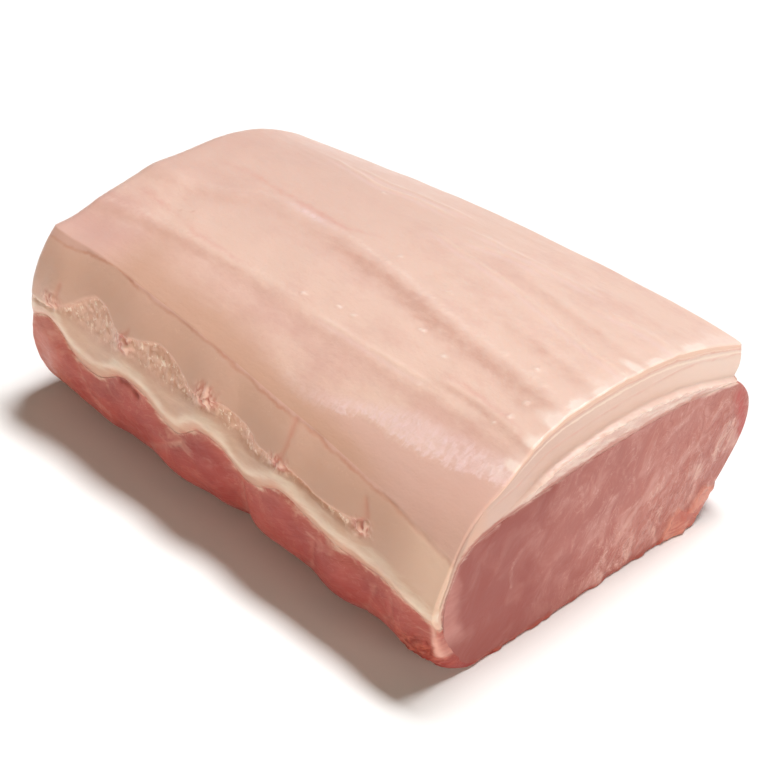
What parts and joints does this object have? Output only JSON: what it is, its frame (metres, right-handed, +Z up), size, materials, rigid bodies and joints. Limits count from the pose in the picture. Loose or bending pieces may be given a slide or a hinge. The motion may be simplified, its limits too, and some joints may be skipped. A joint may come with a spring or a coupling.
{
  "type": "raw boneless pork loin joint with rind",
  "caption": "Boneless raw pork loin joint, rind on: pink lean under a thick cap of pale fat and skin, cut clean across its front end, lying on a flat underside.",
  "frame": {"origin": "centre of the bounding box in plan, on the flat underside", "axes": "+X along the joint to its clean cut face, +Y across it to the low far side, +Z up through the rind"},
  "size_m": [0.218, 0.1473, 0.0786],
  "materials": {
    "raw_lean": "moist raw muscle, pale pink red with white veils of membrane",
    "rind_and_fat": "pale pink cream skin and firm white fat, satin"
  },
  "bodies": {
    "root": {"lean": "raw_lean", "fat_cap": "rind_and_fat"}
  },
  "joints": []
}
